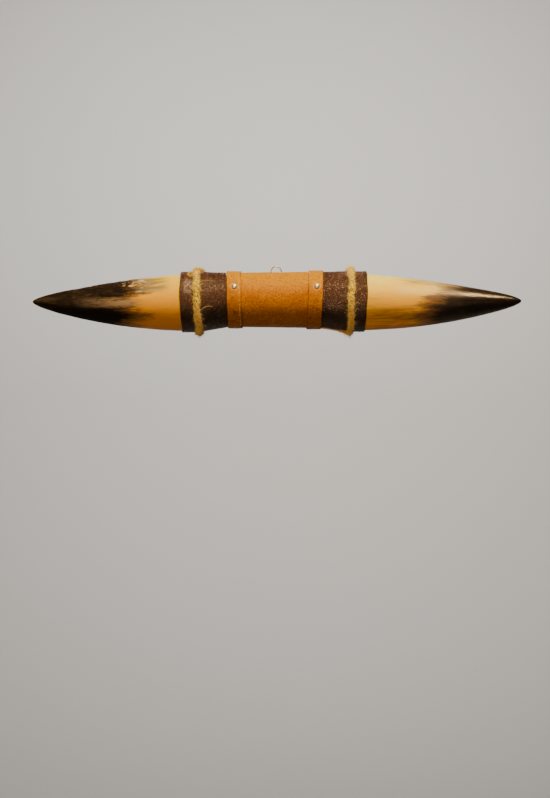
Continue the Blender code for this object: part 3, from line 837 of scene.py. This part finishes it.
def path_frames(path, closed):
    """Two unit directions across a path. The first points away from the axis."""
    if closed:
        ahead = unit(np.roll(path, -1, axis=0) - np.roll(path, 1, axis=0))
    else:
        ahead = unit(np.gradient(path, axis=0))
    outward = path - np.array([0, AXIS_Y, AXIS_Z])
    outward[:, 0] = 0
    outward = unit(outward)
    outward = unit(outward - np.sum(outward * ahead, axis=1, keepdims=True) * ahead)
    return outward, np.cross(ahead, outward)


def yarn(path, across_r, out_r, closed, seed, sides, plies=3, pitch=0.022, taper=None):
    """A felted yarn of several plies, as joined() takes it. Its share is low in its grooves, where the cord
    material paints shade.
    """
    outward, across = (way[:, None, :] for way in path_frames(path, closed))
    steps = np.linalg.norm(np.diff(path, axis=0, append=path[:1] if closed else path[-1:]), axis=1)
    gone = np.concatenate([[0], np.cumsum(steps)[:-1]])
    turns = max(1, round(steps.sum() / pitch)) if closed else steps.sum() / pitch
    turn = 2 * np.pi * np.arange(sides) / sides
    cos, sin = np.cos(turn), np.sin(turn)
    lay = turn[None, :] - 2 * np.pi * turns * gone[:, None] / steps.sum()
    lobes = np.abs(np.cos(plies * lay / 2)) ** 0.7
    noise_r = 0.0022
    place = path[:, None, :] + noise_r * (cos[None, :, None] * across + sin[None, :, None] * outward)
    lumps = noise_field(place, 0.0042, 3, seed)
    strands = np.stack(
        [np.repeat(gone[:, None] * 0.30, sides, 1), noise_r * np.cos(lay), noise_r * np.sin(lay)], axis=-1
    )
    strands = noise_field(strands, 0.0007, 3, seed + 1)
    size = 0.94 + 0.09 * lobes + 0.26 * lumps + min(0.42, 200 * across_r) * strands
    if taper is not None:
        size = size * taper[:, None]
    offset = (across_r * cos)[None, :, None] * across + (out_r * sin)[None, :, None] * outward
    # Low in the grooves between the plies, where the cord is painted darker as shade.
    wear_and_painted_light = np.clip(0.35 + 0.25 * lobes + 0.9 * strands, 0, 1)
    return path[:, None, :] + offset * size[..., None], closed, wear_and_painted_light


def tie_route(side, degrees, aside, aloft):
    """Points of a strand round the cover, set aside from the tie's middle and above the leather."""
    x = edge_at(side, side.tie, side.tie_lean, degrees)
    drift = 0.0007 * np.sin(np.radians(degrees) * 2 + side.sign) + 0.0004 * np.sin(np.radians(degrees) * 5)
    x = x + drift + aside
    if side is LEFT:
        for bottom in (-90, 270):
            x = x - 0.0018 * hump(degrees, bottom, 30)
    else:
        x = x - 0.0014 * hump(degrees, 3, 18)
    return polar(x, degrees, skin_radius(x) + GAP + aloft)


def tie_body(side):
    """A soft rope once round the cover, thicker near its knot."""
    rings, sides = 520, 52
    degrees = -90 + 360 * np.arange(rings) / rings
    swell = 1 + 0.14 * hump(degrees, 84, 12) + 0.12 * hump(degrees, 22, 7)
    turn = np.radians(degrees)
    swell *= 1 + 0.06 * np.sin(turn * 7 + side.sign) + 0.05 * np.sin(turn * 12 + 2) + 0.04 * np.sin(turn * 23)
    half_width = 0.0034 if side is LEFT else 0.0031
    path = tie_route(side, degrees, 0.0, 0.0013)
    return yarn(path, half_width, 0.00160, True, 20 + side.sign, sides, taper=swell)


def joined(name, tubes):
    """One mesh from several tubes. Each is rings of points, whether they close end to end, and its share of
    real wear and painted light and shade.
    """
    points, faces, wear_and_painted_light, start = [], [], [], 0
    for skin, closed, worn_and_painted_light in tubes:
        rows, columns, _ = skin.shape
        faces += (grid_faces(rows, columns, closed, True) + start).tolist()
        if not closed:
            faces.append([start + i for i in range(columns)][::-1])
            faces.append([start + (rows - 1) * columns + i for i in range(columns)])
        points.append(skin.reshape(-1, 3))
        wear_and_painted_light.append(np.broadcast_to(worn_and_painted_light, skin.shape[:2]).ravel())
        start += rows * columns
    points = np.concatenate(points)
    return make_object(name, points, faces, points, np.concatenate(wear_and_painted_light))


def hairs(roots, headings, lengths, radii, rng, curl):
    """Many three-sided, tapering, gently curled hairs: an array of hairs by rings by sides by 3."""
    count, steps = len(roots), 4
    direction = unit(headings)
    bend = rng.normal(0, 0.35 * curl, (count, 3))
    path = [roots]
    for _ in range(steps):
        path.append(path[-1] + direction * (lengths / steps)[:, None])
        bend = bend + rng.normal(0, 0.16 * curl, (count, 3))
        direction = unit(direction + bend * 0.6)
    path = np.stack(path, axis=1)
    side_way = unit(np.cross(direction, rng.normal(size=(count, 3))))
    other = np.cross(direction, side_way)
    corners = (2 * np.pi * np.arange(3) / 3)[None, :, None]
    ring = np.cos(corners) * side_way[:, None, :] + np.sin(corners) * other[:, None, :]
    taper = 1 - 0.75 * np.arange(steps + 1) / steps
    return path[:, :, None, :] + (radii[:, None] * taper)[..., None, None] * ring[:, None, :, :]


def fuzz(skin, count, rng):
    """Hairs that stand off a yarn. Most are short and curled down, and some are long and stray."""
    row = rng.integers(0, len(skin), count)
    column = rng.integers(0, skin.shape[1], count)
    root = skin[row, column]
    out = unit(root - skin[row].mean(axis=1))
    lying = unit(skin[(row + 1) % len(skin), column] - root) * rng.choice((-1.0, 1.0), (count, 1))
    away = root - np.array([0, AXIS_Y, AXIS_Z])
    away[:, 0] = 0
    away = unit(away)
    buried = np.sum(out * away, axis=1, keepdims=True) < -0.2
    out = unit(np.where(buried, out + 1.3 * away, out))
    stray = rng.random(count) < 0.09
    lengths = np.where(stray, rng.uniform(0.0035, 0.0080, count), rng.uniform(0.0012, 0.0034, count))
    radii = np.where(stray, rng.uniform(0.00006, 0.00010, count), rng.uniform(0.00007, 0.00013, count))
    heading = out * rng.uniform(0.2, 1.2, (count, 1)) + lying * rng.uniform(0.2, 1.2, (count, 1)) + away * 0.1
    return hairs(root - out * 0.0001, heading, lengths, radii, rng, 1.3)


def loose_thread(side, degrees, start, reach, lift, bow):
    """A long thread that lies over the leather from the tie, as rings of points."""
    radius = 0.00024
    share = np.linspace(0, 1, 22)
    x = edge_at(side, side.tie, side.tie_lean, degrees) + start + reach * share
    angle = degrees + bow * np.sin(np.pi * share * 0.9) + bow * 0.5 * share
    height = skin_radius(x) + GAP + radius + lift * np.sin(np.pi * share) + 0.0003
    return yarn(polar(x, angle, height), radius, radius, False, 3, 5, taper=1 - 0.6 * share)[0]


def frayed_end(side, degrees, heading, length, spread, count, rng):
    """Hairs fanning out from the tie at an angle."""
    root = tie_route(side, np.array([degrees]), 0.0, 0.0026)[0]
    jitter = rng.normal(size=(count, 3))
    heading = np.array(heading) + jitter * spread
    lengths = length * rng.uniform(0.4, 1.1, count)
    return hairs(root + jitter * 0.0009, heading, lengths, rng.uniform(0.00006, 0.00012, count), rng, 0.7)


def knot(side):
    """The tie's short end, tucked over its top."""
    share = np.linspace(0, 1, 40)
    degrees = KNOT_ANGLE - 16 * share + 5 * np.sin(np.pi * share)
    aside = -0.0040 + 0.0125 * share
    path = tie_route(side, degrees, aside, 0.0022 + 0.0010 * np.sin(np.pi * share) - 0.0010 * share)
    ends = np.clip(np.minimum(share, 1 - share) / 0.12, 0.15, 1) ** 0.5
    return yarn(path, 0.0030, 0.0016, False, 31, 20, taper=ends * (1 - 0.45 * share**3))


def side_loop(side):
    """A small loop of thread standing off the tie's outer edge."""
    turn = np.linspace(0, 2 * np.pi, 36, endpoint=False)
    centre = tie_route(side, np.array([55.0]), side.sign * 0.0068, 0.0018)[0]
    path = centre + np.stack([0.0021 * np.cos(turn), 0.0006 * np.sin(turn), 0.0021 * np.sin(turn)], axis=-1)
    return yarn(path, 0.00045, 0.00045, True, 33, 8, pitch=0.004)


def tail(side):
    """The right tie's short thick end, which lies along the underside towards the strap."""
    share = np.linspace(0, 1, 40)
    x = edge_at(side, side.tie, side.tie_lean, LACE_ANGLE) - 0.0130 * share
    path = polar(x, LACE_ANGLE + 2 * np.sin(share * 3), skin_radius(x) + GAP + 0.0021 * (1 - 0.5 * share**2))
    return yarn(path, 0.0021, 0.0019, False, 41, 20, taper=1 - 0.45 * share**2)


# For each tie: its frayed ends, by angle, heading, length, spread and number of hairs, and its loose threads,
# by angle, start beside the tie, reach, lift, and bow in degrees
FRAYED_ENDS = {
    "left": [(74, (1.0, -0.30, -0.12), 0.0095, 0.13, 220), (88, (-0.8, -0.3, 0.30), 0.005, 0.40, 90),
             (-82, (0.5, -0.4, -0.4), 0.006, 0.45, 110), (22, (0.9, -0.5, 0.2), 0.004, 0.5, 80)],
    "right": [(88, (-0.8, -0.1, 0.35), 0.007, 0.45, 90), (84, (0.9, -0.2, 0.15), 0.006, 0.35, 60),
              (-18, (0.9, -0.5, 0.1), 0.006, 0.30, 24), (-50, (-0.8, -0.7, 0.1), 0.004, 0.5, 60),
              (-84, (0.1, -0.4, -0.6), 0.005, 0.4, 90)],
}
LOOSE_THREADS = {
    "left": [(38, 0.004, 0.018, 0.0002, 0.6), (24, 0.003, 0.0065, 0.0008, 6), (-19, 0.003, 0.014, 0.0008, 5)],
    "right": [(-16, 0.003, 0.006, 0.0022, 9), (-26, 0.003, 0.006, 0.0014, 8)],
}


def tie(side, material, fuzz_material):
    rng = np.random.default_rng(11 + side.sign)
    tubes = [tie_body(side)]
    tubes += [knot(side), side_loop(side)] if side is LEFT else [tail(side)]
    ends = [frayed_end(side, *end, rng) for end in FRAYED_ENDS[side.name]]
    name = "tie_" + side.name
    finish_piece(joined(name + "_rope", tubes), material, name)
    loose = list(fuzz(tubes[0][0], 5400, rng))
    for skin, _, _ in tubes[1:]:
        loose += list(fuzz(skin, 260, rng))
    for end in ends:
        loose += list(end)
    loose += [loose_thread(side, *thread) for thread in LOOSE_THREADS[side.name]]
    fluff = joined(name + "_fuzz", [(strand, False, 0.8) for strand in loose])
    finish_piece(fluff, fuzz_material)


def lace_end(material):
    low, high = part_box("lace_end")
    share = np.linspace(0, 1, 60)
    x = low.x + (high.x - low.x) * share
    path = polar(x, LACE_ANGLE + 1.2 * np.sin(share * 5), skin_radius(x) + GAP + 0.0009)
    twist = yarn(path, 0.00095, 0.00075, False, 51, 12, plies=2, pitch=0.006)
    finish_piece(joined("lace_end_twist", [twist]), material, "lace_end")


# ---- metal


def nail(side, place, material):
    """A domed nail with a soft rim and a short hidden shank."""
    name = f"nail_{side.name}_{place}"
    angle = math.radians(NAIL_ANGLES[place])
    layers = 2 if place == "back" else 1
    base = strap_seat(side) + layers * (GAP + STRAP) + GAP - 0.0004
    root = Vector(polar(side.sign * side.nail, NAIL_ANGLES[place], base))
    out = Vector((0, -math.cos(angle), math.sin(angle)))
    first = out.orthogonal().normalized()
    second = out.cross(first)
    slopes = np.linspace(0.02, 1.45, 14)
    profile = [(NAIL_HEAD_R * math.sin(t), NAIL_HEAD_HEIGHT * math.cos(t)) for t in slopes]
    profile += [(0.00332, 0.0001), (0.0031, 0.0), (NAIL_SHANK_R, 0.00002), (NAIL_SHANK_R, -NAIL_SHANK_LENGTH)]
    sides = 40
    turn = [2 * math.pi * i / sides for i in range(sides)]
    rings = np.array([
        [tuple(root + out * h + r * (math.cos(t) * first + math.sin(t) * second)) for t in turn]
        for r, h in profile
    ])
    finish_piece(swept(name + "_head", rings), material, name)


def screw_eye(material):
    """The wire ring on its shank, smooth, with its free end tucked against the shank."""
    low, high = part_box("screw_eye")
    outer = (high.x - low.x) / 2
    ring = outer - EYE_WIRE_R
    centre = Vector(((low.x + high.x) / 2, (low.y + high.y) / 2, high.z - outer))
    shank = [(0, low.z - centre.z), (0, -ring - 0.0100), (0, -ring - 0.0016), (0.0002, -ring - 0.0008),
             (0.0008, -ring - 0.0001)]
    turns = np.radians(np.linspace(-72, 248, 90))
    route = shank + [(ring * math.cos(t), ring * math.sin(t)) for t in turns]
    path = np.array([(centre.x + x, centre.y, centre.z + z) for x, z in route])
    depth = np.array([0.0, 1.0, 0.0])
    beside = np.cross(unit(np.gradient(path, axis=0)), depth)
    turn = (2 * np.pi * np.arange(18) / 18)[None, :, None]
    offset = np.cos(turn) * depth + np.sin(turn) * beside[:, None, :]
    obj = swept("screw_eye_wire", path[:, None, :] + EYE_WIRE_R * offset, flip=True)
    finish_piece(obj, material, "screw_eye")


# ---- room


def plain_material(name, colour, roughness):
    n = Nodes(name)
    place = n.place()
    tone = n.mix(n.noise(place, 3.0, 2.0), colour, tuple(c * 0.97 for c in colour))
    return n.done(tone, roughness)


def room():
    """A pale floor that sweeps up into a far backdrop."""
    floor = AXIS_Z - 1.3
    bend_start, bend = 2.4, 1.2
    turn = np.radians(np.linspace(-90, 0, 24))
    profile = [(-4.0, floor), (bend_start, floor)]
    profile += [(bend_start + bend * math.cos(t), floor + bend + bend * math.sin(t)) for t in turn]
    profile += [(bend_start + bend, floor + 5.0)]
    points = np.array([[(x, y, z) for x in (-5.0, 5.0)] for y, z in profile])
    faces = grid_faces(len(profile), 2, False, False).tolist()
    obj = make_object("floor_sweep", points.reshape(-1, 3), faces)
    obj.data.materials.append(plain_material("pale_floor", (0.68, 0.66, 0.63), 0.9))


def area_light(name, place, target, size, power, colour, spread):
    light = bpy.data.lights.new(name, "AREA")
    light.shape = "RECTANGLE"
    light.size, light.size_y = size
    light.energy = power
    light.spread = math.radians(spread)
    light.color = colour
    obj = placed(name, light)
    obj.location = place
    obj.rotation_mode = "QUATERNION"
    obj.rotation_quaternion = (Vector(place) - Vector(target)).to_track_quat("Z", "Y")


def lights():
    # Each light is placed from the object's middle. All but the one on the backdrop are aimed at it.
    middle = Vector((0, AXIS_Y, AXIS_Z))
    warm, soft_white = (1.0, 0.78, 0.50), (1.0, 0.97, 0.93)
    backdrop = Vector((0, 3.6, 0.2))
    area_light("key", middle + Vector((0.30, -1.02, 1.78)), middle, (0.60, 0.50), 4.5, (1.0, 0.84, 0.50), 40)
    area_light("fill", middle + Vector((-0.6, -1.9, -0.1)), middle, (1.2, 1.0), 1.3, warm, 40)
    area_light("back", middle + Vector((-1.2, 1.6, 0.6)), middle, (1.0, 0.8), 4, (1.0, 0.90, 0.78), 36)
    area_light("wash", middle + Vector((0, 1.3, 1.4)), backdrop, (2.6, 0.8), 42, soft_white, 110)
    world = bpy.data.worlds.new("studio")
    bpy.context.scene.world = world
    world.use_nodes = True
    background = world.node_tree.nodes["Background"]
    background.inputs["Color"].default_value = (*soft_white, 1)
    background.inputs["Strength"].default_value = 0.09


def camera():
    """Level and square to the wall, a little below the object."""
    data = bpy.data.cameras.new("camera")
    data.sensor_width = 36
    data.lens = 68.6
    data.clip_end = 50
    obj = placed("camera", data)
    sideways, distance, drop = -0.00115, 1.748, 0.1139
    obj.location = (sideways, AXIS_Y - distance, AXIS_Z - drop)
    obj.rotation_euler = (math.radians(90), 0, 0)
    bpy.context.scene.camera = obj


def main():
    camera()
    room()
    lights()
    tan = tan_material("tan_leather_smooth", 0.55)
    tan_straps = tan_material("tan_leather_strap", 0.9)
    cord = cord_material("cord_fibre", (1.0, 0.67, 0.070), (0.26, 0.092, 0.006))
    hair = cord_material("cord_hair", (0.99, 0.64, 0.15), (0.90, 0.46, 0.050))
    metal = metal_material("nickel_plate", (0.98, 0.90, 0.74), (0.72, 0.58, 0.38))
    horn(LEFT, left_horn_material())
    horn(RIGHT, right_horn_material())
    dark_cover(LEFT, dark_material("dark_leather_creased", False))
    dark_cover(RIGHT, dark_material("dark_leather_pebbled", True))
    tan_sleeve(tan)
    for side in (LEFT, RIGHT):
        strap(side, tan_straps)
        tie(side, cord, hair)
        for place in NAIL_ANGLES:
            nail(side, place, metal)
    lace_end(cord_material("lace_hide", (0.95, 0.60, 0.22), (0.80, 0.42, 0.12)))
    screw_eye(metal_material("brass_wire", (0.80, 0.60, 0.34), (0.46, 0.30, 0.14)))
    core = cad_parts["wood_core"]
    core.data.materials.clear()
    core.data.materials.append(wood_material())


main()
